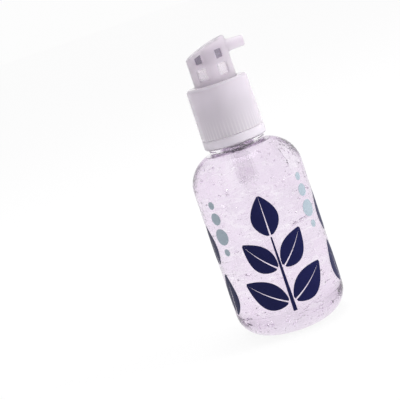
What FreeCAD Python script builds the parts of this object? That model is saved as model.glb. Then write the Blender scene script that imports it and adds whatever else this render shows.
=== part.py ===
import FreeCAD, Part
import math
import os

# Clear round pump bottle for massage oil or gel: a bottle with a screw neck, a ribbed closure
# under a smooth collar shell, and a two-ball pump worked by a push head with a spout.
# Millimetres, +Z up, origin at the centre of the base, spout towards +X.

# Bottle body
body_dia = 45.0
body_height = 76.0
bottle_wall = 0.75
heel_radius = 10.5
shoulder_rise = 13.2
foot_inner_dia = 17.0
push_up = 2.4
base_thick = 1.2
headspace = 3.2

# Neck of the bottle, with the ring it is carried by
neck_dia = 17.7
neck_bore_dia = 14.4
neck_height = 15.0
lip_chamfer = 0.5
neck_ring_reach = 2.5
neck_ring_thick = 1.1
neck_ring_gap = 0.5

# Thread of the neck and closure
thread_dia = 19.9
thread_pitch = 3.175
thread_turns = 1.5
thread_drop = 2.4
thread_root_width = 1.9
thread_crest_width = 0.9
thread_gap = 0.25
thread_play = 0.25
thread_bite = 0.3

# Closure, its grip ribs and the lower ring that the collar shell sits on, with a fine groove at the seam
closure_gap = 0.3
closure_wall = 1.05
closure_top_thick = 1.2
closure_edge = 0.6
lower_ring_height = 3.8
lower_ring_edge = 0.5
seam_edge = 0.25
rib_depth = 0.35
rib_count = 56
rib_bare_top = 2.6
bush_hole_gap = 0.2

# Collar shell
shroud_height = 21.0
shroud_wall = 1.05
shroud_fit = 0.1
shroud_taper = 0.25
shroud_top_thick = 1.3
shroud_edge = 1.5
shroud_lip_depth = 2.4
shroud_lip_wall = 0.8
snap_height = 0.8
head_gap = 0.25

# Pump housing and neck gasket
gasket_thick = 1.0
gasket_margin = 0.15
flange_thick = 1.2
flange_margin = 0.25
chamber_dia = 8.6
housing_wall = 1.1
socket_length = 6.0
socket_wall = 1.0
cone_height = 2.0

# Valve balls
inlet_ball_dia = 3.2
inlet_port_dia = 2.0
inlet_lift = 0.8
outlet_ball_dia = 2.2
outlet_lift = 0.5
ball_side_gap = 0.5
outlet_side_gap = 0.2
seat_gap = 0.03
stop_gap = 0.15

# Ball cage under the spring
cage_thick = 1.2
cage_hole_dia = 1.6
cage_slot_dia = 1.1
cage_slot_count = 3

# Plunger: piston, stem and seal
stroke = 5.0
stroke_spare = 0.5
piston_height = 5.0
piston_waist = 0.5
piston_lip_height = 1.3
piston_gap = 0.05
stem_dia = 4.0
stem_bore_dia = 1.4
stem_flange_dia = 5.8
stem_flange_thick = 0.9
stem_ledge = 1.4
stem_gap = 0.05
seal_thick = 0.8

# Guide bush that closes the chamber
bush_plug_length = 3.4
bush_flange_dia = 12.0
bush_flange_thick = 1.0
bush_tower_dia = 9.0
bush_tower_height = 4.2
bush_edge = 0.5

# Return spring at rest
spring_length = 10.6
spring_mean_dia = 6.4
spring_wire = 0.6
spring_turns = 6.5
spring_end_gap = 0.02

# Dip tube
tube_dia = 4.0
tube_bore_dia = 2.6
tube_foot_gap = 2.6
tube_end_gap = 0.3
tube_bevel = 2.0
gel_gap = 0.2

# Push head
head_dia = 17.2
head_wall = 1.1
head_low_rise = 11.4
head_high_rise = 16.6
head_crown_radius = 70.0
head_top_thick = 1.4
head_edge = 0.9
boss_dia = 5.2
boss_bottom_rise = 7.1
socket_depth = 2.4
web_thick = 1.0
valve_room_dia = 2.8
stop_bar = 0.6
spout_rise = 11.9
spout_reach = 15.5
spout_root_dia = 5.8
spout_tip_dia = 4.2
spout_tip_edge = 0.5
spout_root_fillet = 0.9
spout_bore_dia = 2.0

# Thin window panels on both sides of the push head: an upper and a lower pair
upper_window_near = 2.6
upper_window_width = 3.0
upper_window_bottom = 8.5
upper_window_height = 3.9
lower_window_near = 2.1
lower_window_width = 4.0
lower_window_bottom = 1.9
lower_window_height = 5.0
window_corner = 0.4
window_recess = 0.55

# Radii
body_r = body_dia / 2
foot_r = foot_inner_dia / 2
heel_foot_r = body_r - heel_radius
inner_r = body_r - bottle_wall
neck_r = neck_dia / 2
neck_bore_r = neck_bore_dia / 2
thread_r = thread_dia / 2
closure_inner_r = thread_r + thread_gap
closure_r = closure_inner_r + closure_wall
rib_r = closure_r + rib_depth
shroud_inner_r = rib_r + shroud_fit
collar_r = shroud_inner_r + shroud_wall
head_r = head_dia / 2
head_inner_r = head_r - head_wall
head_hole_r = head_r + head_gap
chamber_r = chamber_dia / 2
housing_r = chamber_r + housing_wall
tube_r = tube_dia / 2
socket_r = tube_r + socket_wall
stem_r = stem_dia / 2
stem_bore_r = stem_bore_dia / 2
inlet_ball_r = inlet_ball_dia / 2
outlet_ball_r = outlet_ball_dia / 2
bush_flange_r = bush_flange_dia / 2
boss_r = boss_dia / 2

# Heights, from the base up
shoulder_z = body_height - shoulder_rise
gel_level = body_height - headspace
neck_ring_z = body_height + neck_ring_gap
closure_z = neck_ring_z + neck_ring_thick + closure_gap
lip_z = body_height + neck_height
flange_z = lip_z + gasket_thick
flange_top = flange_z + flange_thick
closure_top = flange_top + closure_top_thick
shroud_z = closure_z + lower_ring_height
shroud_top = shroud_z + shroud_height
bush_bottom = flange_top - bush_plug_length
seal_bottom = bush_bottom - seal_thick
piston_top = seal_bottom
piston_bottom = piston_top - piston_height
spring_seat = piston_bottom - spring_length
ledge_z = spring_seat - cage_thick

# A ball rests where its surface meets a seat that flares at 45 degrees from a port
inlet_port_r = inlet_port_dia / 2
inlet_centre_over_seat = inlet_ball_r * math.sqrt(2) - inlet_port_r + seat_gap
inlet_seat_z = ledge_z - stop_gap - inlet_lift - inlet_ball_r - inlet_centre_over_seat
inlet_ball_z = inlet_seat_z + inlet_centre_over_seat
tube_stop = inlet_seat_z - cone_height / 2
housing_bottom = tube_stop - socket_length

# The push head and the top of the stem
skirt_z = closure_top + stroke + stroke_spare
boss_z = shroud_top + boss_bottom_rise
stem_top = boss_z + socket_depth
spout_z = shroud_top + spout_rise
outlet_ball_z = stem_top - outlet_ball_r
outlet_seat_z = outlet_ball_z - outlet_ball_r * math.sqrt(2) + stem_bore_r - seat_gap
stop_bar_z = outlet_ball_z + outlet_ball_r + outlet_lift + stop_gap
stem_flange_z = piston_top - stem_flange_thick - stem_gap
stem_bottom = piston_bottom + stem_ledge

axis_z = FreeCAD.Vector(0, 0, 1)
axis_y = FreeCAD.Vector(0, 1, 0)
axis_x = FreeCAD.Vector(1, 0, 0)
origin = FreeCAD.Vector(0, 0, 0)
tall = 4 * body_height


def at(spot):
    return FreeCAD.Vector(spot[0], 0, spot[1])


def spin(outline):
    """Solid turned about Z from (radius, height) points; a pair of points is an arc by way of the first."""
    edges = []
    here = outline[0]
    for step in outline[1:] + outline[:1]:
        if isinstance(step[0], tuple):
            end = step[1]
            edges.append(Part.Arc(at(here), at(step[0]), at(end)).toShape())
        else:
            end = step
            edges.append(Part.makeLine(at(here), at(end)))
        here = end
    return Part.Face(Part.Wire(edges)).revolve(origin, axis_z, 360)


def rod(radius, bottom, top):
    return Part.makeCylinder(radius, top - bottom, FreeCAD.Vector(0, 0, bottom))


def ring(outer, inner, bottom, top):
    return spin([(inner, bottom), (outer, bottom), (outer, top), (inner, top)])


def upright_arc(side, end):
    """Middle of the arc that leaves the upright wall at side without a corner and reaches end."""
    run = side[0] - end[0]
    rise = end[1] - side[1]
    radius = (run ** 2 + rise ** 2) / (2 * run)
    half = math.atan2(abs(rise), radius - run) / 2
    climb = math.copysign(radius * math.sin(half), rise)
    return (side[0] - radius + radius * math.cos(half), side[1] + climb)


def dome_arc(edge, crown):
    """Middle of the arc that crosses the axis level at the crown height and reaches edge."""
    rise = crown - edge[1]
    radius = (edge[0] ** 2 + rise ** 2) / (2 * rise)
    half = math.asin(edge[0] / radius) / 2
    return (radius * math.sin(half), crown - radius + radius * math.cos(half))


def round_edge(corner, radius):
    """Arc over an outer top corner, from its side to its top."""
    short = radius * (1 - math.sqrt(0.5))
    return ((corner[0] - short, corner[1] - short), (corner[0] - radius, corner[1]))


def thread_ridge(root_r, crest_r, root_width, crest_width, bottom):
    """Screw ridge of the neck or closure, its flanks carried on into the wall that holds it."""
    carry = thread_bite / abs(crest_r - root_r)
    sunk_r = root_r + carry * (root_r - crest_r)
    half_sunk = (root_width + carry * (root_width - crest_width)) / 2
    half_crest = crest_width / 2
    corners = [
        (sunk_r, -half_sunk), (crest_r, -half_crest), (crest_r, half_crest), (sunk_r, half_sunk),
        (sunk_r, -half_sunk),
    ]
    profile = Part.makePolygon([at(corner) for corner in corners])
    helix = Part.makeHelix(thread_pitch, thread_pitch * thread_turns, root_r)
    ridge = Part.Wire(helix.Edges).makePipeShell([profile], True, True)
    ridge.translate(FreeCAD.Vector(0, 0, bottom))
    return ridge


def thread_width(radius):
    """Axial width of the neck's ridge at a radius, carried on past its crest."""
    share = (radius - neck_r) / (thread_r - neck_r)
    return thread_root_width + share * (thread_crest_width - thread_root_width)


thread_bottom = lip_z - thread_drop - thread_turns * thread_pitch


def bottle_cavity():
    neck_inside = (neck_bore_r, body_height - bottle_wall)
    side_top = (inner_r, shoulder_z)
    side_bottom = (inner_r, heel_radius)
    heel_inside = (heel_foot_r, base_thick)
    foot_inside = (foot_r, base_thick)
    crown = push_up + base_thick
    return spin([
        (0, crown), (dome_arc(foot_inside, crown), foot_inside), heel_inside,
        (upright_arc(side_bottom, heel_inside), side_bottom), side_top,
        (upright_arc(side_top, neck_inside), neck_inside),
        (neck_bore_r, lip_z), (0, lip_z),
    ])


def make_bottle():
    foot = (foot_r, 0)
    heel = (heel_foot_r, 0)
    side_bottom = (body_r, heel_radius)
    side_top = (body_r, shoulder_z)
    neck_root = (neck_r, body_height)
    ring_r = neck_r + neck_ring_reach
    ring_top = neck_ring_z + neck_ring_thick
    outside = spin([
        (0, push_up), (dome_arc(foot, push_up), foot), heel,
        (upright_arc(side_bottom, heel), side_bottom), side_top,
        (upright_arc(side_top, neck_root), neck_root),
        (neck_r, neck_ring_z), (ring_r, neck_ring_z), (ring_r, ring_top), (neck_r, ring_top),
        (neck_r, lip_z - lip_chamfer), (neck_r - lip_chamfer, lip_z), (0, lip_z),
    ])
    ridge = thread_ridge(neck_r, thread_r, thread_root_width, thread_crest_width, thread_bottom)
    return outside.fuse(ridge).cut(bottle_cavity())


def make_gel():
    """Contents up to the gel's surface, with room for the hanging pump housing and its dip tube."""
    tube_room_r = tube_r + gel_gap
    socket_room_r = socket_r + gel_gap
    housing_room_r = housing_r + gel_gap
    socket_low = housing_bottom - gel_gap
    cone_low = inlet_seat_z - gel_gap
    room = spin([
        (0, 0), (tube_room_r, 0), (tube_room_r, socket_low), (socket_room_r, socket_low),
        (socket_room_r, cone_low), (housing_room_r, cone_low + cone_height),
        (housing_room_r, lip_z), (0, lip_z),
    ])
    return bottle_cavity().common(rod(body_r, 0, gel_level)).cut(room)


def make_gasket():
    return ring(neck_r - gasket_margin - lip_chamfer, neck_bore_r + gasket_margin, lip_z, flange_z)


def make_housing():
    ball_room_r = inlet_ball_r + ball_side_gap
    seat_top = inlet_seat_z + ball_room_r - inlet_port_r
    cone_top = inlet_seat_z + cone_height
    return spin([
        (chamber_r, flange_top), (chamber_r, ledge_z), (ball_room_r, ledge_z), (ball_room_r, seat_top),
        (inlet_port_r, inlet_seat_z), (inlet_port_r, tube_stop), (tube_r, tube_stop),
        (tube_r, housing_bottom), (socket_r, housing_bottom), (socket_r, inlet_seat_z),
        (housing_r, cone_top), (housing_r, flange_z),
        (neck_r - flange_margin, flange_z), (neck_r - flange_margin, flange_top),
    ])


def make_cage():
    cage = rod(chamber_r, ledge_z, spring_seat).cut(rod(cage_hole_dia / 2, ledge_z, spring_seat))
    for slot in range(cage_slot_count):
        turn = 2 * math.pi * slot / cage_slot_count
        hole = rod(cage_slot_dia / 2, ledge_z, spring_seat)
        hole.translate(FreeCAD.Vector(math.cos(turn), math.sin(turn), 0) * (cage_hole_dia / 2))
        cage = cage.cut(hole)
    return cage


def make_ball(radius, height):
    return Part.makeSphere(radius, FreeCAD.Vector(0, 0, height))


def make_piston():
    lip_r = chamber_r - piston_gap
    waist_r = lip_r - piston_waist
    hole_r = stem_r + stem_gap
    pocket_r = stem_flange_dia / 2 + stem_gap
    return spin([
        (stem_bore_r, piston_bottom), (lip_r, piston_bottom), (lip_r, piston_bottom + piston_lip_height),
        (waist_r, piston_bottom + piston_lip_height + piston_waist),
        (waist_r, piston_top - piston_lip_height - piston_waist),
        (lip_r, piston_top - piston_lip_height), (lip_r, piston_top), (pocket_r, piston_top),
        (pocket_r, stem_flange_z), (hole_r, stem_flange_z), (hole_r, stem_bottom), (stem_bore_r, stem_bottom),
    ])


def make_stem():
    flange_r = stem_flange_dia / 2
    flange_upper = stem_flange_z + stem_flange_thick
    room_r = outlet_ball_r + outlet_side_gap
    return spin([
        (stem_bore_r, stem_bottom), (stem_r, stem_bottom), (stem_r, stem_flange_z),
        (flange_r, stem_flange_z), (flange_r, flange_upper), (stem_r, flange_upper), (stem_r, stem_top),
        (room_r, stem_top), (room_r, outlet_seat_z + room_r - stem_bore_r), (stem_bore_r, outlet_seat_z),
    ])


def make_seal():
    return ring(chamber_r, stem_r + stem_gap, seal_bottom, bush_bottom)


def make_bush():
    hole_r = stem_r + stem_gap
    tower_r = bush_tower_dia / 2
    tower_foot = flange_top + bush_flange_thick
    tower_top = tower_foot + bush_tower_height
    return spin([
        (hole_r, bush_bottom), (chamber_r, bush_bottom), (chamber_r, flange_top),
        (bush_flange_r, flange_top), (bush_flange_r, tower_foot), (tower_r, tower_foot),
        (tower_r, tower_top - bush_edge), (tower_r - bush_edge, tower_top), (hole_r, tower_top),
    ])


def make_tube():
    tube_bottom = push_up + base_thick + tube_foot_gap
    tube = ring(tube_r, tube_bore_dia / 2, tube_bottom, tube_stop - tube_end_gap)
    wedge = [
        (-tube_dia, tube_bottom - tube_dia), (tube_dia, tube_bottom - tube_dia),
        (tube_r, tube_bottom), (-tube_r, tube_bottom + tube_bevel), (-tube_dia, tube_bottom + tube_bevel),
        (-tube_dia, tube_bottom - tube_dia),
    ]
    face = Part.Face(Part.makePolygon([at(corner) for corner in wedge]))
    cutter = face.extrude(axis_y * 2 * tube_dia)
    cutter.translate(-axis_y * tube_dia)
    return tube.cut(cutter)


def helix_point(turn, rise_per_radian, bottom):
    radius = spring_mean_dia / 2
    return FreeCAD.Vector(radius * math.cos(turn), radius * math.sin(turn), bottom + rise_per_radian * turn)


def helix_heading(turn, rise_per_radian):
    radius = spring_mean_dia / 2
    heading = FreeCAD.Vector(-radius * math.sin(turn), radius * math.cos(turn), rise_per_radian)
    return heading.normalize()


def corner_arc(start, corner, end):
    """Arc that touches both legs of a corner, which are equally long."""
    middle = (start + end) / 2
    half_chord = (end - start).Length / 2
    lean = math.acos(half_chord / (corner - start).Length)
    crest = middle + (corner - middle).normalize() * (half_chord * math.tan(lean / 2))
    return Part.Arc(start, crest, end).toShape()


def biarc(start, heading_start, end, heading_end):
    """Two arcs that leave start and reach end along the given headings."""
    span = end - start
    along = span.dot(heading_start + heading_end)
    bend = 2 * (1 - heading_start.dot(heading_end))
    leg = (math.sqrt(along ** 2 + bend * span.dot(span)) - along) / bend
    first_corner = start + heading_start * leg
    last_corner = end - heading_end * leg
    joint = (first_corner + last_corner) / 2
    return [corner_arc(start, first_corner, joint), corner_arc(joint, last_corner, end)]


def least_gap(path, wire, apart):
    """Least gap of a coiled wire to itself, between points that are at least that far apart along it."""
    points = path.discretize(Distance=wire)
    skip = math.ceil(apart / wire)
    pairs = [(near, far) for i, near in enumerate(points) for far in points[i + skip:]]
    return min((far - near).Length for near, far in pairs) - wire


def make_spring():
    wire_r = spring_wire / 2
    bottom = spring_seat + wire_r + spring_end_gap
    top = piston_bottom - wire_r - spring_end_gap
    quarter = math.pi / 2
    quarters = round(spring_turns * 4)
    rise = (top - bottom) / (quarters * quarter)
    edges = []
    for step in range(quarters):
        start = step * quarter
        end = start + quarter
        edges += biarc(
            helix_point(start, rise, bottom), helix_heading(start, rise),
            helix_point(end, rise, bottom), helix_heading(end, rise),
        )
    path = Part.Wire(edges)
    half_turn = math.pi * spring_mean_dia / 2
    print("least gap of the spring to itself", round(least_gap(path, spring_wire, half_turn), 3))
    section = Part.makeCircle(wire_r, helix_point(0, rise, bottom), helix_heading(0, rise))
    return path.makePipeShell([Part.Wire([section])], True, False)


def make_ribs():
    """Ring of pointed grip ribs round the closure."""
    corners = []
    for step in range(2 * rib_count):
        turn = math.pi * step / rib_count
        radius = rib_r if step % 2 else closure_r
        corners.append(FreeCAD.Vector(radius * math.cos(turn), radius * math.sin(turn), shroud_z))
    face = Part.Face(Part.makePolygon(corners + corners[:1]))
    ribs = face.extrude(axis_z * (closure_top - rib_bare_top - shroud_z))
    return ribs.cut(rod(closure_inner_r + closure_wall / 2, shroud_z, closure_top))


def make_closure():
    hole_r = bush_flange_r + bush_hole_gap
    cap = spin([
        (closure_inner_r, closure_z), (collar_r - lower_ring_edge, closure_z),
        (collar_r, closure_z + lower_ring_edge), (collar_r, shroud_z - seam_edge),
        (collar_r - seam_edge, shroud_z), (closure_r, shroud_z),
        (closure_r, closure_top - closure_edge), (closure_r - closure_edge, closure_top),
        (hole_r, closure_top), (hole_r, flange_top), (closure_inner_r, flange_top),
    ])
    crest_r = neck_r + thread_gap
    root_width = thread_pitch - thread_width(closure_inner_r) - 2 * thread_play
    crest_width = thread_pitch - thread_width(crest_r) - 2 * thread_play
    ridge = thread_ridge(closure_inner_r, crest_r, root_width, crest_width, thread_bottom - thread_pitch / 2)
    return cap.fuse(make_ribs()).fuse(ridge)


def make_shroud():
    """Collar shell; a bead inside its wall hooks over the upper ends of the closure's ribs."""
    top_r = collar_r - shroud_taper
    snap_z = closure_top - rib_bare_top + shroud_fit
    snap_r = closure_r + shroud_fit
    lip_r = head_hole_r + shroud_lip_wall
    under_top = shroud_top - shroud_top_thick
    snap_top = snap_z + snap_height
    return spin([
        (shroud_inner_r, shroud_z), (collar_r - seam_edge, shroud_z), (collar_r, shroud_z + seam_edge),
        (top_r, shroud_top - shroud_edge),
        round_edge((top_r, shroud_top), shroud_edge), (head_hole_r, shroud_top),
        (head_hole_r, shroud_top - shroud_lip_depth), (lip_r, shroud_top - shroud_lip_depth),
        (lip_r, under_top), (shroud_inner_r - shroud_taper, under_top),
        (shroud_inner_r, snap_top + rib_depth), (snap_r, snap_top), (snap_r, snap_z),
        (shroud_inner_r, snap_z),
    ])


def under_crown(drop):
    """Everything below the slanted, slightly domed top of the head, lowered by drop."""
    low = FreeCAD.Vector(-head_r, 0, shroud_top + head_low_rise)
    high = FreeCAD.Vector(head_r, 0, shroud_top + head_high_rise)
    chord = high - low
    upward = FreeCAD.Vector(-chord.z, 0, chord.x).normalize()
    depth = math.sqrt(head_crown_radius ** 2 - (chord.Length / 2) ** 2)
    centre = (low + high) / 2 - upward * depth
    return Part.makeCylinder(head_crown_radius - drop, 2 * body_dia, centre - axis_y * body_dia, axis_y)


def head_shell():
    """Skirt and top plate, with the rim of the top rounded over."""
    outside = rod(head_r, skirt_z, tall).common(under_crown(0))
    rim = [edge for edge in outside.Edges if edge.BoundBox.ZMin > skirt_z + head_edge]
    rounded = outside.makeFillet(head_edge, rim)
    inside = rod(head_inner_r, skirt_z, tall).common(under_crown(head_top_thick))
    return rounded.cut(inside)


def head_core():
    """Boss for the stem and the upright web across the hollow of the head."""
    reach_r = head_r - head_wall / 2
    boss = rod(boss_r, boss_z, tall)
    web = Part.makeBox(2 * head_r, web_thick, tall, FreeCAD.Vector(-head_r, -web_thick / 2, boss_z))
    return boss.fuse(web.common(rod(reach_r, boss_z, 2 * tall))).common(under_crown(head_top_thick / 2))


def head_spout():
    """Tapered spout that runs out of the boss, under the top plate."""
    root = FreeCAD.Vector(0, 0, spout_z)
    spout = Part.makeCone(spout_root_dia / 2, spout_tip_dia / 2, spout_reach, root, axis_x)
    tip = [edge for edge in spout.Edges if edge.BoundBox.XMin > spout_reach / 2]
    return spout.makeFillet(spout_tip_edge, tip).common(under_crown(head_top_thick / 2))


def on_spout_root(edge):
    """True for an edge where the spout leaves the outside of the skirt."""
    spot = edge.valueAt((edge.FirstParameter + edge.LastParameter) / 2)
    on_skirt = abs(math.hypot(spot.x, spot.y) - head_r) < seat_gap
    near_spout = math.hypot(spot.y, spot.z - spout_z) < spout_root_dia / 2
    return on_skirt and near_spout and spot.x > 0


def head_window(near, width, bottom, height, side_x, side_y):
    """Cutter for one window recess in the skirt, with rounded corners."""
    left = near if side_x > 0 else -near - width
    front = 0 if side_y > 0 else -head_dia
    block = Part.makeBox(width, head_dia, height, FreeCAD.Vector(left, front, shroud_top + bottom))
    across = [edge for edge in block.Edges if edge.BoundBox.YLength > head_r]
    cutter = block.makeFillet(window_corner, across).cut(rod(head_r - window_recess, skirt_z, tall))
    return cutter.common(under_crown(head_top_thick))


def make_actuator():
    head = head_shell().fuse(head_core()).fuse(head_spout())
    head = head.makeFillet(spout_root_fillet, [edge for edge in head.Edges if on_spout_root(edge)])
    upper = (upper_window_near, upper_window_width, upper_window_bottom, upper_window_height)
    lower = (lower_window_near, lower_window_width, lower_window_bottom, lower_window_height)
    for side_x in (-1, 1):
        for side_y in (-1, 1):
            head = head.cut(head_window(*upper, side_x, side_y))
            head = head.cut(head_window(*lower, side_x, side_y))
    spout_bore_r = spout_bore_dia / 2
    head = head.cut(rod(stem_r, boss_z, stem_top))
    head = head.cut(rod(valve_room_dia / 2, stem_top, spout_z + spout_bore_r))
    head = head.cut(Part.makeCylinder(spout_bore_r, 2 * spout_reach, FreeCAD.Vector(0, 0, spout_z), axis_x))
    bar = Part.makeBox(stop_bar, boss_r * 2, stop_bar, FreeCAD.Vector(-stop_bar / 2, -boss_r, stop_bar_z))
    return head.fuse(bar.common(rod(boss_r, stop_bar_z, tall)))


os.makedirs("parts", exist_ok=True)
nodes = {
    "bottle": make_bottle(),
    "gel_fill": make_gel(),
    "neck_gasket": make_gasket(),
    "pump_housing": make_housing(),
    "ball_cage": make_cage(),
    "inlet_ball": make_ball(inlet_ball_r, inlet_ball_z),
    "return_spring": make_spring(),
    "piston": make_piston(),
    "stem": make_stem(),
    "stem_seal": make_seal(),
    "outlet_ball": make_ball(outlet_ball_r, outlet_ball_z),
    "guide_bush": make_bush(),
    "dip_tube": make_tube(),
    "closure": make_closure(),
    "shroud": make_shroud(),
    "actuator": make_actuator(),
}
for name, shape in nodes.items():
    box = shape.BoundBox
    print(name, len(shape.Solids), "solids", shape.isValid(), round(shape.Volume, 1),
          [round(v, 2) for v in (box.XMin, box.YMin, box.ZMin, box.XMax, box.YMax, box.ZMax)])
    shape.exportStep(os.path.join("parts", name + ".step"))
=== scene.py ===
import math
import random

import bmesh
import bpy
from mathutils import Matrix, Vector


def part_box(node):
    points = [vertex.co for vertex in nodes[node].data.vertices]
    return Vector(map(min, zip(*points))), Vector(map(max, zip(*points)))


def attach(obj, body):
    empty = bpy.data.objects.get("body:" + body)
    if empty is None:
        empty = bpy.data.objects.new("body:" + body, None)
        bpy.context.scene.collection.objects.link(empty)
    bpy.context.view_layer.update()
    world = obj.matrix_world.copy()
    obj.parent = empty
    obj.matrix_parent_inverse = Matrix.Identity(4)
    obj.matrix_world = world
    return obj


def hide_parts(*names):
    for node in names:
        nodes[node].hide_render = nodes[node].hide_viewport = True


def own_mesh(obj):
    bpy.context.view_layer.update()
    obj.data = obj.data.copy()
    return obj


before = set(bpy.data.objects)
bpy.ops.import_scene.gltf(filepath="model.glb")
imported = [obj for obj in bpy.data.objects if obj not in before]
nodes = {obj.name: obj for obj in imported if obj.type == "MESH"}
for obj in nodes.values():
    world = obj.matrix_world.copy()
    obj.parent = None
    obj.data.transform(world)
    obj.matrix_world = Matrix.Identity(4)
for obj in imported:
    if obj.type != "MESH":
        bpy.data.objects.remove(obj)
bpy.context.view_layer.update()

# Bottle
# A round bottle blown from clear plastic, with a drawn-in heel, a broad shoulder and a screw neck.
# Blowing leaves its wall a little wavy and clouded, which bends what is seen through it.
mm = 0.001
body_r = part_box("bottle")[1].x
clear_tones = ((0.985, 0.97, 0.99), (0.96, 0.94, 0.97))
wall_ripple = 0.25 * mm
# The gel wets the wall, so its faces mirror less than dry plastic.
wall_mirror = (0.5, 0.5, 0.5, 1)


def fill(node, values):
    """Fill a node's inputs: another node's output is linked, and anything else is a plain value."""
    for name, value in values.items():
        if isinstance(value, bpy.types.NodeSocket):
            node.id_data.links.new(value, node.inputs[name])
        else:
            node.inputs[name].default_value = value


def add_node(tree, kind, values, **settings):
    """Add a node with its settings and inputs, and give back its outputs."""
    node = tree.nodes.new("ShaderNode" + kind)
    for name, value in settings.items():
        setattr(node, name, value)
    fill(node, values)
    return node.outputs


def new_group(name, inputs, outputs):
    """Node group with named number sockets, and the two ends inside it."""
    group = bpy.data.node_groups.new(name, "ShaderNodeTree")
    for socket, value in inputs.items():
        given = group.interface.new_socket(socket, in_out="INPUT", socket_type="NodeSocketFloat")
        given.default_value = value
    for socket in outputs:
        group.interface.new_socket(socket, in_out="OUTPUT", socket_type="NodeSocketFloat")
    return group, group.nodes.new("NodeGroupInput").outputs, group.nodes.new("NodeGroupOutput")


def moulding_marks():
    """Node group for what moulding leaves on plastic: soft ripples, fine grain and clouded colour."""
    group, given, result = new_group(
        "Moulding Marks",
        {"Ripple Scale": 60.0, "Grain Scale": 900.0, "Cloud Scale": 90.0, "Smooth": 0.1, "Rough": 0.2},
        ("Height", "Roughness", "Cloud"),
    )
    place = add_node(group, "TexCoord", {})["Object"]
    noise = {}
    for name, detail in (("Ripple", 1.5), ("Grain", 3.0), ("Cloud", 2.0)):
        values = {"Vector": place, "Scale": given[name + " Scale"], "Detail": detail}
        noise[name] = add_node(group, "TexNoise", values)["Fac"]
    spread = {"Value": noise["Grain"], "To Min": given["Smooth"], "To Max": given["Rough"]}
    rough = add_node(group, "MapRange", spread)["Result"]
    fill(result, {"Height": noise["Ripple"], "Roughness": rough, "Cloud": noise["Cloud"]})
    return group


marks = moulding_marks()


def moulded(name, tones, ripple, marks_values, shader_values):
    """Plastic that clouds between two tones, with ripples of that depth and the marks of moulding."""
    material = bpy.data.materials.new(name)
    material.use_nodes = True
    tree = material.node_tree
    mark = add_node(tree, "Group", marks_values, node_tree=marks)
    clouds = {"Factor": mark["Cloud"], "A": (*tones[0], 1), "B": (*tones[1], 1)}
    tone = add_node(tree, "Mix", clouds, data_type="RGBA")["Result"]
    bump = add_node(tree, "Bump", {"Height": mark["Height"], "Distance": ripple})["Normal"]
    shader = tree.nodes["Principled BSDF"]
    fill(shader, {"Base Color": tone, "Roughness": mark["Roughness"], "Normal": bump, **shader_values})
    return material


def finish_node(name, material):
    """Give a solid of the frame its finish."""
    nodes[name].data.materials.clear()
    nodes[name].data.materials.append(material)


clear_wall = moulded(
    "Clear Wall", clear_tones, wall_ripple,
    {"Ripple Scale": 70.0, "Grain Scale": 400.0, "Cloud Scale": 60.0, "Smooth": 0.0, "Rough": 0.04},
    {"Transmission Weight": 1.0, "IOR": 1.5, "Specular Tint": wall_mirror},
)
finish_node("bottle", clear_wall)

# Gel
# Thick clear gel that wets the bottle's wall and holds the air stirred into it as small bubbles.
# It is one mesh, with the bubbles as hollows, and reaches a hair into the wall so that no air lies between.
gel_low, gel_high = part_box("gel_fill")
gel_tones = ((0.83, 0.81, 0.86), (0.90, 0.78, 0.905))
bubble_tones = ((0.97, 0.96, 0.97), (1.0, 1.0, 1.0))
gel_ior = 1.38
gel_mirror = (0.1, 0.1, 0.1, 1)
wet_in = 0.1 * mm
# The bottle's inside, which the gel fills.
inner_r = gel_high.x
heel_rise = 10.5 * mm
heel_foot_r = body_r - heel_rise
foot_r = 8.5 * mm
base_crown = 3.6 * mm
shoulder_z = 62.8 * mm
neck_bore_r = 7.2 * mm
shoulder_top = 75.25 * mm
# The gel's edge, which climbs the wall.
meniscus = 2.1 * mm
meniscus_reach = 5.0 * mm
# Bubbles: most are small and near the wall, and some are drawn out into streaks.
bubble_seed = 11
bubble_count = 600
bubble_least = 0.16 * mm
bubble_most = 0.55 * mm
bubble_clear = 0.3 * mm
heel_share = 0.1
heel_band = 8.0 * mm
streak_share = 0.45
streak_most = 5.0
small_power = 4
wall_power = 0.4
tip_range = math.pi / 3
surface_clear = 1.0 * mm
tube_clear = 6.0 * mm
# Wisps of the finest air, whose pale tone is partly painted highlight.
wisp_and_highlight_tone = (1.0, 0.985, 1.0, 1)
wisp_squeeze = (1.0, 1.0, 2.2)
wisp_scale = 200.0
wisp_curl = 1.2
wisp_band = (0.52, 0.61)
wisp_rise = 0.05 * mm
patch_scale = 60.0
patch_band = (0.36, 0.58)
heel_fade = (3.0 * mm, 14.0 * mm)
# Steps that the gel's outline is drawn in.
bend_steps = 8
arc_steps = 24
flat_steps = 12
turn_steps = 128


def wall_arc(side, end):
    """Radius and centre radius of the arc that leaves the upright wall at side and reaches end."""
    run = side[0] - end[0]
    rise = end[1] - side[1]
    radius = (run ** 2 + rise ** 2) / (2 * run)
    return radius, side[0] - radius


heel_arc = wall_arc((inner_r, heel_rise), (heel_foot_r, gel_low.z))
shoulder_arc = wall_arc((inner_r, shoulder_z), (neck_bore_r, shoulder_top))


def inner_radius(height):
    """Radius of the bottle's inside at a height."""
    if height < heel_rise:
        radius, centre = heel_arc
        return centre + math.sqrt(max(0, radius ** 2 - (heel_rise - height) ** 2))
    if height > shoulder_z:
        radius, centre = shoulder_arc
        return centre + math.sqrt(radius ** 2 - (height - shoulder_z) ** 2)
    return inner_r


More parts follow.
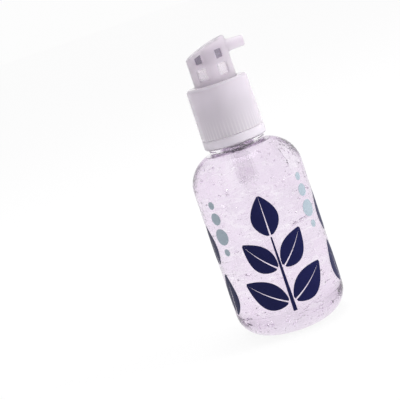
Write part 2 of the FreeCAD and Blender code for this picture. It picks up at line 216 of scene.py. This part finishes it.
def gel_profile():
    """Outline of the gel from the middle of its base, up the wall and over its surface to the middle."""
    points = []
    for step in range(bend_steps + 1):
        share = step / bend_steps
        points.append((foot_r * share, base_crown - (base_crown - gel_low.z) * share ** 2 - wet_in))
    radius, centre = heel_arc
    sweep = math.asin((heel_rise - gel_low.z) / radius)
    wet_r = radius + wet_in
    for step in range(arc_steps, 0, -1):
        turn = sweep * step / arc_steps
        points.append((centre + wet_r * math.cos(turn), heel_rise - wet_r * math.sin(turn)))
    for step in range(flat_steps + 1):
        points.append((inner_r + wet_in, heel_rise + (shoulder_z - heel_rise) * step / flat_steps))
    rim = gel_high.z + meniscus
    radius, centre = shoulder_arc
    wet_r = radius + wet_in
    sweep = math.asin((rim - shoulder_z) / wet_r)
    for step in range(1, arc_steps + 1):
        turn = sweep * step / arc_steps
        points.append((centre + wet_r * math.cos(turn), shoulder_z + wet_r * math.sin(turn)))
    rim_r = points[-1][0]
    for step in range(1, bend_steps + 1):
        share = step / bend_steps
        points.append((rim_r - meniscus_reach * share, gel_high.z + meniscus * (1 - share) ** 2))
    flat_r = rim_r - meniscus_reach
    for step in range(1, flat_steps + 1):
        points.append((flat_r * (1 - step / flat_steps), gel_high.z))
    return points


def lathe(mesh, profile):
    """Closed round body from an outline that starts and ends on the axis."""
    rows = []
    for radius, height in profile[1:-1]:
        row = []
        for step in range(turn_steps):
            turn = 2 * math.pi * step / turn_steps
            x = radius * math.cos(turn)
            y = radius * math.sin(turn)
            row.append(mesh.verts.new((x, y, height)))
        rows.append(row)
    bottom = mesh.verts.new((0, 0, profile[0][1]))
    top = mesh.verts.new((0, 0, profile[-1][1]))
    for step in range(turn_steps):
        ahead = (step + 1) % turn_steps
        mesh.faces.new((bottom, rows[0][ahead], rows[0][step]))
        mesh.faces.new((top, rows[-1][step], rows[-1][ahead]))
        for low, high in zip(rows, rows[1:]):
            mesh.faces.new((low[step], low[ahead], high[ahead], high[step]))


def add_bubbles(mesh, chance):
    """Hollows in the gel, with their faces turned inwards."""
    ball = bmesh.new()
    bmesh.ops.create_icosphere(ball, subdivisions=2, radius=1)
    spots = [vert.co.copy() for vert in ball.verts]
    corners = [[vert.index for vert in reversed(face.verts)] for face in ball.faces]
    ball.free()
    made = 0
    while made < bubble_count:
        radius = bubble_least + (bubble_most - bubble_least) * chance.random() ** small_power
        stretch = 1 + (streak_most - 1) * chance.random() if chance.random() < streak_share else 1
        rise = heel_band if chance.random() < heel_share else gel_high.z - gel_low.z
        height = gel_low.z + rise * chance.random()
        turn = 2 * math.pi * chance.random()
        tip = tip_range * (chance.random() - 0.5)
        out = inner_radius(height) * chance.random() ** wall_power
        reach = radius * stretch
        if out - reach < tube_clear or out + reach + bubble_clear > inner_radius(height):
            continue
        if height - reach < base_crown + bubble_clear:
            continue
        if height + reach + bubble_clear > gel_high.z - surface_clear:
            continue
        place = Matrix.Translation((out * math.cos(turn), out * math.sin(turn), height))
        place = place @ Matrix.Rotation(turn, 4, "Z") @ Matrix.Rotation(tip, 4, "X")
        place = place @ Matrix.Diagonal((radius, reach, radius, 1))
        verts = [mesh.verts.new(place @ spot) for spot in spots]
        for corner in corners:
            mesh.faces.new([verts[index] for index in corner]).material_index = 1
        made += 1


def piece_from(mesh, name, material, smooth=True):
    """Turn a drawn mesh into a named piece with its finish."""
    data = bpy.data.meshes.new(name)
    mesh.to_mesh(data)
    mesh.free()
    for face in data.polygons:
        face.use_smooth = smooth
    data.materials.append(material)
    piece = bpy.data.objects.new(name, data)
    bpy.context.scene.collection.objects.link(piece)
    return piece


def reckon(tree, operation, *values):
    """Output of a Math node that takes other outputs or plain numbers."""
    return add_node(tree, "Math", dict(enumerate(values)), operation=operation)["Value"]


def lay_over(material, socket, mask, value, kind):
    """Lay a tone or number over what feeds a socket of the shader, where the mask is one."""
    tree = material.node_tree
    shader = tree.nodes["Principled BSDF"]
    under = shader.inputs[socket].links[0].from_socket
    mix = add_node(tree, "Mix", {"Factor": mask, "A": under, "B": value}, data_type=kind)
    fill(shader, {socket: mix["Result"]})


def part_place():
    """Node group for a spot's place: out from the axis, to a side, its height and its turn round the axis."""
    group, _, result = new_group("Part Place", {}, ("Out", "Side", "Height", "Turn"))
    place = add_node(group, "TexCoord", {})["Object"]
    x, y, z = add_node(group, "SeparateXYZ", {"Vector": place})
    flat = reckon(group, "ADD", reckon(group, "MULTIPLY", x, x), reckon(group, "MULTIPLY", y, y))
    fill(result, {
        "Out": reckon(group, "SQRT", flat), "Side": reckon(group, "ABSOLUTE", x),
        "Height": z, "Turn": reckon(group, "ARCTAN2", y, x),
    })
    return group


place_on_part = part_place()


def add_wisps_and_highlights(material):
    """Pale wisps of fine air, partly painted highlight, that lie across the gel in patches, thinning out
    towards the heel.
    """
    tree = material.node_tree
    spot = add_node(tree, "TexCoord", {})["Object"]
    squeezed = add_node(tree, "Mapping", {"Vector": spot, "Scale": wisp_squeeze})["Vector"]
    curls = {"Vector": squeezed, "Scale": wisp_scale, "Detail": 4.0, "Distortion": wisp_curl}
    wisps = add_node(tree, "TexNoise", curls)["Fac"]
    patches = add_node(tree, "TexNoise", {"Vector": squeezed, "Scale": patch_scale})["Fac"]
    height = add_node(tree, "Group", {}, node_tree=place_on_part)["Height"]
    mask = 1.0
    for value, (low, high) in ((wisps, wisp_band), (patches, patch_band), (height, heel_fade)):
        share = add_node(tree, "MapRange", {"Value": value, "From Min": low, "From Max": high})["Result"]
        mask = reckon(tree, "MULTIPLY", share, mask)
    lay_over(material, "Base Color", mask, wisp_and_highlight_tone, "RGBA")
    shader = tree.nodes["Principled BSDF"]
    under = shader.inputs["Normal"].links[0].from_socket
    rise = add_node(tree, "Bump", {"Height": mask, "Distance": wisp_rise, "Normal": under})
    fill(shader, {"Normal": rise["Normal"]})


gel_material = moulded(
    "Bubbly Gel", gel_tones, 0.02 * mm,
    {"Ripple Scale": 120.0, "Grain Scale": 300.0, "Cloud Scale": 110.0, "Smooth": 0.0, "Rough": 0.02},
    {"Transmission Weight": 1.0, "IOR": gel_ior, "Specular Tint": gel_mirror},
)
# Pale wisps of fine air, partly painted highlight.
add_wisps_and_highlights(gel_material)
bubble_material = moulded(
    "Bubble Skin", bubble_tones, 0.01 * mm,
    {"Ripple Scale": 300.0, "Grain Scale": 600.0, "Cloud Scale": 200.0, "Smooth": 0.0, "Rough": 0.02},
    {"Transmission Weight": 1.0, "IOR": gel_ior},
)
gel_mesh = bmesh.new()
lathe(gel_mesh, gel_profile())
add_bubbles(gel_mesh, random.Random(bubble_seed))
gel = piece_from(gel_mesh, "gel", gel_material)
gel.data.materials.append(bubble_material)
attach(gel, "bottle")
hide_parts("gel_fill")

# Print
# Screen-printed ink on the body: a leafy sprig and single leaves in navy, with grey-teal dots between them.
# Each stroke is a thin film that follows the round wall and bites into its skin, with no air under it.
navy_tones = ((0.004, 0.005, 0.044), (0.007, 0.008, 0.056))
teal_tones = ((0.28, 0.34, 0.385), (0.31, 0.37, 0.415))
ink_in = 0.06 * mm
ink_out = 0.012 * mm
ink_rows = 28
ink_columns = 12
stem_low = 10.5 * mm
stem_high = 41.0 * mm
stem_width = 1.6 * mm
stem_taper = 0.6
leaf_start = 0.75 * stem_width
vein_width = 0.6 * mm
leaf_pairs = ((14.5 * mm, 62, 18.5 * mm, 10.6 * mm), (28.5 * mm, 50, 16.5 * mm, 9.6 * mm))
top_leaf = (41.5 * mm, 0, 16.5 * mm, 10.6 * mm)
leaf_curl = 2.4 * mm
leaf_trim = 0.02
leaf_belly = 0.85
leaf_fullness = 0.85
side_turn = 0.42 * math.pi
side_leaves = ((12.0 * mm, -14, 18.0 * mm, 9.4 * mm), (33.5 * mm, 14, 16.5 * mm, 9.0 * mm))
dot_turn = 0.29 * math.pi
dot_trim = 0.01
dots = ((39.0 * mm, 1.5 * mm), (45.5 * mm, 3.4 * mm), (53.0 * mm, 2.5 * mm), (58.6 * mm, 1.6 * mm))


def on_body(across, height, radius):
    """Point on the round body; across is measured round the wall from its front."""
    turn = across / body_r - math.pi / 2
    return (radius * math.cos(turn), radius * math.sin(turn), height)


def add_ink(mesh, edges):
    """Closed film of ink between two edges, given as rows of (left, right) spots on the wall."""
    layers = []
    for radius in (body_r - ink_in, body_r + ink_out):
        rows = []
        for left, right in edges:
            spots = [left.lerp(right, step / ink_columns) for step in range(ink_columns + 1)]
            rows.append([mesh.verts.new(on_body(spot.x, spot.y, radius)) for spot in spots])
        layers.append(rows)
    inner, outer = layers
    last = len(edges) - 1
    made = []
    for row in range(last):
        for step in range(ink_columns):
            for layer in layers:
                made.append(mesh.faces.new((
                    layer[row][step], layer[row][step + 1], layer[row + 1][step + 1], layer[row + 1][step],
                )))
        for step in (0, ink_columns):
            made.append(mesh.faces.new((
                inner[row][step], inner[row + 1][step], outer[row + 1][step], outer[row][step],
            )))
    for row in (0, last):
        for step in range(ink_columns):
            made.append(mesh.faces.new((
                inner[row][step], inner[row][step + 1], outer[row][step + 1], outer[row][step],
            )))
    bmesh.ops.recalc_face_normals(mesh, faces=made)


def add_leaf(mesh, base, lean, length, width):
    """Pointed leaf in two halves, with a bare vein between them that narrows to the tip."""
    along = Vector((math.sin(lean), math.cos(lean)))
    side = Vector((math.cos(lean), -math.sin(lean)))
    curl = -math.copysign(leaf_curl, lean) if lean else 0
    for half_side in (-1, 1):
        edges = []
        for row in range(ink_rows + 1):
            share = leaf_trim + (1 - 2 * leaf_trim) * row / ink_rows
            spine = base + along * length * share + side * curl * share ** 2
            vein = vein_width / 2 * (1 - share)
            half = width / 2 * math.sin(math.pi * share ** leaf_belly) ** leaf_fullness
            edges.append((spine + side * half_side * vein, spine + side * half_side * (vein + half)))
        add_ink(mesh, edges)


def add_sprig(mesh, across):
    """Stem that tapers upwards, with its pairs of leaves and the leaf at its top."""
    stem = []
    for row in range(ink_rows + 1):
        share = row / ink_rows
        half = stem_width / 2 * (1 - stem_taper * share)
        height = stem_low + (stem_high - stem_low) * share
        stem.append((Vector((across - half, height)), Vector((across + half, height))))
    add_ink(mesh, stem)
    for height, lean, length, width in leaf_pairs:
        for way in (-1, 1):
            base = Vector((across + way * leaf_start, height))
            add_leaf(mesh, base, way * math.radians(lean), length, width)
    height, lean, length, width = top_leaf
    add_leaf(mesh, Vector((across, height)), lean, length, width)


def add_dot(mesh, across, height, radius):
    """Round dot that is drawn in rows from its foot to its top."""
    edges = []
    for row in range(ink_rows + 1):
        turn = math.pi * (dot_trim + (1 - 2 * dot_trim) * row / ink_rows)
        half = radius * math.sin(turn)
        level = height - radius * math.cos(turn)
        edges.append((Vector((across - half, level)), Vector((across + half, level))))
    add_ink(mesh, edges)


ink_marks = {"Ripple Scale": 500.0, "Grain Scale": 2500.0, "Cloud Scale": 400.0, "Smooth": 0.32, "Rough": 0.5}
ink_shader = {"Specular IOR Level": 0.1}
navy_ink = moulded("Navy Ink", navy_tones, 0.01 * mm, ink_marks, ink_shader)
teal_ink = moulded("Grey Teal Ink", teal_tones, 0.01 * mm, ink_marks, ink_shader)
sprig_mesh = bmesh.new()
add_sprig(sprig_mesh, 0)
for way in (-1, 1):
    for height, lean, length, width in side_leaves:
        spot = Vector((way * side_turn * body_r, height))
        add_leaf(sprig_mesh, spot, math.radians(way * lean), length, width)
sprigs = piece_from(sprig_mesh, "leaf_print", navy_ink, smooth=False)
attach(sprigs, "bottle")
dot_mesh = bmesh.new()
for way in (-1, 1):
    for height, radius in dots:
        add_dot(dot_mesh, way * dot_turn * body_r, height, radius)
dot_print = piece_from(dot_mesh, "dot_print", teal_ink, smooth=False)
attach(dot_print, "bottle")

# Pump body
# Housing, ball cage, guide bush and stem, moulded from natural milky plastic.
# They push and snap together and hang in the neck by the housing's flange.
natural_tones = ((0.965, 0.955, 0.97), (0.99, 0.985, 0.99))
natural_plastic = moulded(
    "Natural Plastic", natural_tones, 0.03 * mm,
    {"Ripple Scale": 300.0, "Grain Scale": 1500.0, "Cloud Scale": 200.0, "Smooth": 0.12, "Rough": 0.24},
    {"Transmission Weight": 0.97, "IOR": 1.04},
)
for name in ("pump_housing", "ball_cage", "guide_bush", "stem"):
    finish_node(name, natural_plastic)

# Dip tube
# Thin soft tube pushed into the foot of the housing, cut at a slant at its lower end.
# It stands in the gel and is full of it, so its edges bend the light only a little.
tube_tones = ((0.975, 0.965, 0.975), (0.99, 0.985, 0.99))
tube_plastic = moulded(
    "Tube Plastic", tube_tones, 0.02 * mm,
    {"Ripple Scale": 200.0, "Grain Scale": 900.0, "Cloud Scale": 150.0, "Smooth": 0.05, "Rough": 0.15},
    {"Transmission Weight": 1.0, "IOR": 1.04},
)
finish_node("dip_tube", tube_plastic)

# Seals
# Piston and stem seal, moulded from soft natural plastic so that their lips bend to what they slide on.
# The gasket is punched from foam sheet, and the closure presses it onto the bottle's lip.
soft_tones = ((0.82, 0.80, 0.84), (0.88, 0.87, 0.90))
foam_tones = ((0.86, 0.86, 0.86), (0.92, 0.92, 0.92))
soft_plastic = moulded(
    "Soft Plastic", soft_tones, 0.02 * mm,
    {"Ripple Scale": 250.0, "Grain Scale": 1200.0, "Cloud Scale": 200.0, "Smooth": 0.3, "Rough": 0.45},
    {"Subsurface Weight": 0.3, "Subsurface Scale": 1.0 * mm},
)
foam = moulded(
    "Seal Foam", foam_tones, 0.12 * mm,
    {"Ripple Scale": 2500.0, "Grain Scale": 3000.0, "Cloud Scale": 900.0, "Smooth": 0.7, "Rough": 0.9},
    {},
)
finish_node("piston", soft_plastic)
finish_node("stem_seal", soft_plastic)
finish_node("neck_gasket", foam)

# Return spring and valve balls
# Stainless steel: a coil of drawn wire between cage and piston, and two loose balls on their seats.
# The coil is wound here as a mesh of its own.
steel_tones = ((0.74, 0.73, 0.75), (0.82, 0.81, 0.83))
steel = moulded(
    "Stainless Steel", steel_tones, 0.005 * mm,
    {"Ripple Scale": 900.0, "Grain Scale": 4000.0, "Cloud Scale": 700.0, "Smooth": 0.22, "Rough": 0.38},
    {"Metallic": 1.0},
)
finish_node("inlet_ball", steel)
finish_node("outlet_ball", steel)
spring_low, spring_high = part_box("return_spring")
wire_r = 0.3 * mm
coil_r = spring_high.x - wire_r
coil_turns = 6.5
coil_steps = 40
wire_steps = 12


def wind_coil(mesh):
    """Coil of round wire whose ends are closed by small caps."""
    bottom = spring_low.z + wire_r
    climb = (spring_high.z - wire_r - bottom) / (2 * math.pi * coil_turns)
    loops = []
    for step in range(round(coil_turns * coil_steps) + 1):
        turn = 2 * math.pi * step / coil_steps
        outward = Vector((math.cos(turn), math.sin(turn), 0))
        heading = Vector((-coil_r * math.sin(turn), coil_r * math.cos(turn), climb)).normalized()
        upward = heading.cross(outward)
        centre = outward * coil_r + Vector((0, 0, bottom + climb * turn))
        loop = []
        for side in range(wire_steps):
            angle = 2 * math.pi * side / wire_steps
            spot = centre + (outward * math.cos(angle) + upward * math.sin(angle)) * wire_r
            loop.append(mesh.verts.new(spot))
        loops.append(loop)
    for low, high in zip(loops, loops[1:]):
        for side in range(wire_steps):
            ahead = (side + 1) % wire_steps
            mesh.faces.new((low[side], low[ahead], high[ahead], high[side]))
    mesh.faces.new(loops[0])
    mesh.faces.new(loops[-1])
    bmesh.ops.recalc_face_normals(mesh, faces=mesh.faces[:])


spring_mesh = bmesh.new()
wind_coil(spring_mesh)
spring = piece_from(spring_mesh, "spring_coil", steel)
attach(spring, "pump")
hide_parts("return_spring")
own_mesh(spring)

# Closure and collar shell
# Ribbed screw closure under a smooth collar, both moulded from milky plastic with a satin skin.
# The collar snaps over the closure and rests on its lower ring; pale lines of painted light low on its wall
# stand for the ribs showing through it.
collar_tones = ((0.81, 0.755, 0.83), (0.87, 0.815, 0.885))
closure_tones = ((0.92, 0.87, 0.945), (0.965, 0.915, 0.985))
valley_tone = (0.40, 0.37, 0.42, 1)
rib_crest = 11.6 * mm
rib_depth = 0.35 * mm
rib_count = 56
# Painted light: pale lines on the collar's wall over the ribs behind it.
painted_rib_light = (1.0, 0.97, 1.0, 1)
painted_rib_light_top = 8.5 * mm
painted_rib_light_most = 1.0
shroud_low, shroud_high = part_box("shroud")
frosted_marks = {
    "Ripple Scale": 160.0, "Grain Scale": 1800.0, "Cloud Scale": 90.0, "Smooth": 0.34, "Rough": 0.46,
}
collar_marks = dict(frosted_marks, Smooth=0.07, Rough=0.15)


def band_mask():
    """Node group that is one where a value lies between two limits, and fades to nothing at them."""
    limits = {"Value": 0.0, "Low": 0.0, "High": 1.0, "Soft": 0.1}
    group, given, result = new_group("Band Mask", limits, ("Mask",))
    above = reckon(group, "SUBTRACT", given["Value"], given["Low"])
    below = reckon(group, "SUBTRACT", given["High"], given["Value"])
    depth = {"Value": reckon(group, "MINIMUM", above, below), "From Max": given["Soft"]}
    fill(result, {"Mask": add_node(group, "MapRange", depth, interpolation_type="SMOOTHSTEP")["Result"]})
    return group


band = band_mask()


def between(tree, value, low, high, soft):
    """Mask of a band in a material."""
    values = {"Value": value, "Low": low, "High": high, "Soft": soft}
    return add_node(tree, "Group", values, node_tree=band)["Mask"]


def shade_valleys(material):
    """Darken the grooves between the ribs, where the light hardly reaches."""
    tree = material.node_tree
    out = add_node(tree, "Group", {}, node_tree=place_on_part)["Out"]
    valley = rib_crest - rib_depth
    mask = between(tree, out, valley - rib_depth, valley + rib_depth, rib_depth)
    lay_over(material, "Base Color", mask, valley_tone, "RGBA")


def paint_rib_light(material):
    """Paint pale upright lines of light low on the collar, where the ribs touch its wall and let the light
    through.
    """
    tree = material.node_tree
    place = add_node(tree, "Group", {}, node_tree=place_on_part)
    wave = reckon(tree, "COSINE", reckon(tree, "MULTIPLY", place["Turn"], rib_count))
    fade = add_node(tree, "MapRange", {
        "Value": place["Height"], "From Min": shroud_low.z, "From Max": shroud_low.z + painted_rib_light_top,
        "To Min": painted_rib_light_most, "To Max": 0.0,
    })["Result"]
    mask = reckon(tree, "MAXIMUM", reckon(tree, "MULTIPLY", wave, fade), 0.0)
    lay_over(material, "Base Color", mask, painted_rib_light, "RGBA")


closure_plastic = moulded(
    "Closure Plastic", closure_tones, 0.04 * mm, frosted_marks, {"Transmission Weight": 0.45, "IOR": 1.4},
)
shade_valleys(closure_plastic)
collar_plastic = moulded(
    "Collar Plastic", collar_tones, 0.04 * mm, collar_marks, {"Transmission Weight": 0.5, "IOR": 1.4},
)
# Painted light over the ribs on the collar's wall.
paint_rib_light(collar_plastic)
finish_node("closure", closure_plastic)
finish_node("shroud", collar_plastic)

# Push head
# Hollow button with a slanted finger rest, thin window panels on both sides and the spout.
# It is moulded in one piece from milky plastic and pressed onto the stem.
head_tones = ((0.92, 0.865, 0.93), (0.955, 0.90, 0.96))
# Painted shade darkens the upper panes of the skirt, and painted light brightens the lower ones.
painted_pocket_shade = (0.48, 0.45, 0.52, 1)
painted_pane_light = (1.0, 0.96, 1.0, 1)
pane_rough = 0.08
pane_r = (7.2 * mm, 8.5 * mm)
pane_soft = 0.35 * mm
upper_pane = (2.7 * mm, 5.5 * mm, 8.6 * mm, 12.3 * mm)
lower_pane = (2.2 * mm, 6.0 * mm, 2.0 * mm, 6.8 * mm)


def paint_pane_light_and_shade(material, panes):
    """Paint shade into the upper panes of the skirt and light into the lower ones, and give the panes a
    smoother skin than the rest.
    """
    tree = material.node_tree
    place = add_node(tree, "Group", {}, node_tree=place_on_part)
    in_skirt = between(tree, place["Out"], *pane_r, pane_soft)
    for (near, far, low, high), tone in panes:
        across = between(tree, place["Side"], near, far, pane_soft)
        upright = between(tree, place["Height"], shroud_high.z + low, shroud_high.z + high, pane_soft)
        mask = reckon(tree, "MULTIPLY", reckon(tree, "MULTIPLY", across, upright), in_skirt)
        lay_over(material, "Base Color", mask, tone, "RGBA")
        lay_over(material, "Roughness", mask, pane_rough, "FLOAT")


head_plastic = moulded(
    "Head Plastic", head_tones, 0.03 * mm, frosted_marks, {"Transmission Weight": 0.75, "IOR": 1.4},
)
# The upper panes get painted shade and the lower panes painted light.
paint_pane_light_and_shade(head_plastic, ((upper_pane, painted_pocket_shade), (lower_pane, painted_pane_light)))
finish_node("actuator", head_plastic)

# Studio
# Pale floor and white surround that the camera, gloss and clear plastic see as plain white.
# Soft lamps add shape; everything else is even light from all round.
scene = bpy.context.scene
scene.view_settings.view_transform = "Standard"
light_bounces = 200
scene.cycles.max_bounces = light_bounces
scene.cycles.transmission_bounces = light_bounces
scene.cycles.glossy_bounces = light_bounces
floor_size = 30.0
floor_tone = (0.97, 0.965, 0.975, 1)
floor_white = 0.9
backdrop_white = (0.98, 0.98, 0.98, 1)
surround_light = (1.0, 0.985, 1.0, 1)
surround_strength = 0.72
lamp_aim = Vector((0, 0, 0.06))


def seen_directly(tree):
    """Value of one for light that goes to the camera, a gloss or through something clear."""
    path = add_node(tree, "LightPath", {})
    through = reckon(tree, "MAXIMUM", path["Is Glossy Ray"], path["Is Transmission Ray"])
    return reckon(tree, "MAXIMUM", path["Is Camera Ray"], through)


def studio_world():
    """Even light on the part, and plain white where it is seen directly."""
    world = bpy.data.worlds.new("Studio")
    world.use_nodes = True
    tree = world.node_tree
    light = tree.nodes["Background"]
    fill(light, {"Color": surround_light, "Strength": surround_strength})
    white = add_node(tree, "Background", {"Color": backdrop_white})["Background"]
    pick = add_node(tree, "MixShader", {0: seen_directly(tree), 1: light.outputs["Background"], 2: white})
    fill(tree.nodes["World Output"], {"Surface": pick["Shader"]})
    return world


def floor_material():
    """Matte floor that takes the shadow, and is mostly white where it is seen directly."""
    material = bpy.data.materials.new("Pale Floor")
    material.use_nodes = True
    tree = material.node_tree
    tree.nodes.remove(tree.nodes["Principled BSDF"])
    matte = add_node(tree, "BsdfDiffuse", {"Color": floor_tone})["BSDF"]
    white = add_node(tree, "Emission", {"Color": (1, 1, 1, 1)})["Emission"]
    share = reckon(tree, "MULTIPLY", seen_directly(tree), floor_white)
    pick = add_node(tree, "MixShader", {0: share, 1: matte, 2: white})
    fill(tree.nodes["Material Output"], {"Surface": pick["Shader"]})
    return material


scene.world = studio_world()
floor_mesh = bmesh.new()
bmesh.ops.create_grid(floor_mesh, x_segments=1, y_segments=1, size=floor_size)
piece_from(floor_mesh, "floor", floor_material())


def soft_lamp(name, spot, size, power, sparkles):
    """Round lamp that gloss doesn't show, and that the gel's bubbles show where it sparkles."""
    data = bpy.data.lights.new(name, "AREA")
    data.shape = "DISK"
    data.size = size
    data.energy = power
    lamp = bpy.data.objects.new(name, data)
    lamp.visible_glossy = False
    lamp.visible_transmission = sparkles
    scene.collection.objects.link(lamp)
    lamp.location = spot
    aim = lamp_aim - Vector(spot)
    lamp.rotation_mode = "QUATERNION"
    lamp.rotation_quaternion = aim.to_track_quat("-Z", "Y")


soft_lamp("right lamp", spot=(1.0, -0.25, 0.45), size=0.5, power=9.5, sparkles=False)
soft_lamp("top lamp", spot=(0.1, 0.1, 1.1), size=0.6, power=4.5, sparkles=True)
soft_lamp("left lamp", spot=(-0.8, -0.5, 0.5), size=0.6, power=0.5, sparkles=False)

# Camera
# It looks slightly down on the bottle's front from half a metre away.
# It is turned about its line of sight, so that the bottle leans to the left in the picture.
picture_width = 400
pixel = 0.3994 * mm
roll = math.radians(19.1)
elevation = math.radians(9.0)
distance = 0.5
nearest = 0.01
aim_height = 52.7 * mm
aim_left = 22.3 * mm
back = Vector((0, -math.cos(elevation), math.sin(elevation)))
right = Vector((1, 0, 0))
up = back.cross(right)
picture_right = right * math.cos(roll) - up * math.sin(roll)
picture_up = right * math.sin(roll) + up * math.cos(roll)
aim = Vector((0, 0, aim_height)) - picture_right * aim_left
camera_data = bpy.data.cameras.new("camera")
camera_data.lens = camera_data.sensor_width * distance / (picture_width * pixel)
camera_data.clip_start = nearest
camera = bpy.data.objects.new("camera", camera_data)
scene.collection.objects.link(camera)
turned = Matrix((picture_right, picture_up, back)).transposed().to_4x4()
camera.matrix_world = Matrix.Translation(aim + back * distance) @ turned
scene.camera = camera
